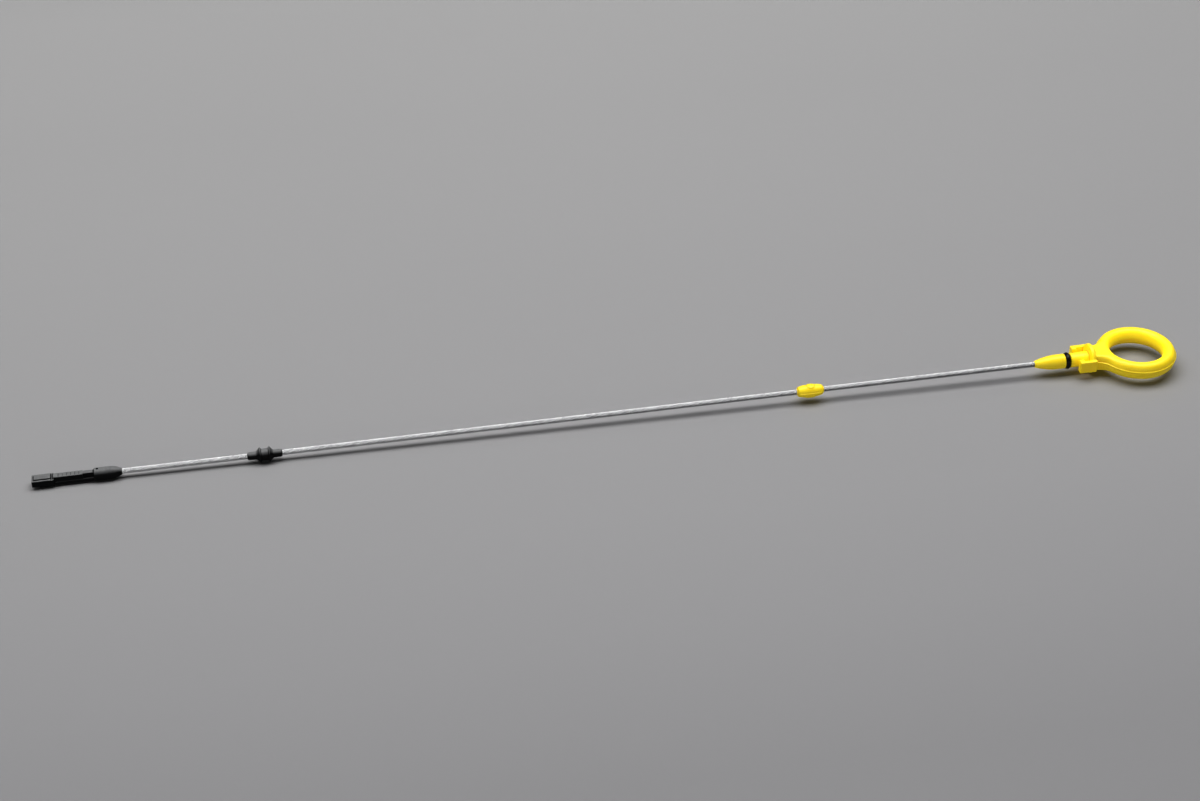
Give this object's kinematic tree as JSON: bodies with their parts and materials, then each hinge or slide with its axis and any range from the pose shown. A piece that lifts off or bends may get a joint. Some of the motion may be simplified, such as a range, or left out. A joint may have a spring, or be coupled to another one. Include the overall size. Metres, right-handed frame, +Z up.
{
  "type": "engine oil dipstick",
  "caption": "Long steel-strand engine oil dipstick with a yellow finger-ring handle, rubber seal, two guides and a black marked measuring tip, lying flat.",
  "frame": {"origin": "on the surface the stick lies on, under the middle of the part's own box", "axes": "+X along the stick from the measuring tip towards the finger ring, +Z up, with the finger ring lying level"},
  "size_m": [0.5634, 0.0398, 0.0148],
  "materials": {
    "handle_plastic": "satin yellow injection-moulded plastic",
    "seal_rubber": "smooth black rubber, lightly oiled",
    "strand_steel": "bright galvanised twisted steel strand",
    "bead_plastic": "satin yellow injection-moulded plastic",
    "bobbin_plastic": "satin black injection-moulded plastic",
    "tip_plastic": "satin black injection-moulded plastic"
  },
  "bodies": {
    "root": {"handle": "handle_plastic", "seal_ring": "seal_rubber", "strand": "strand_steel", "guide_bead": "bead_plastic", "guide_bobbin": "bobbin_plastic", "measuring_tip": "tip_plastic"}
  },
  "joints": []
}
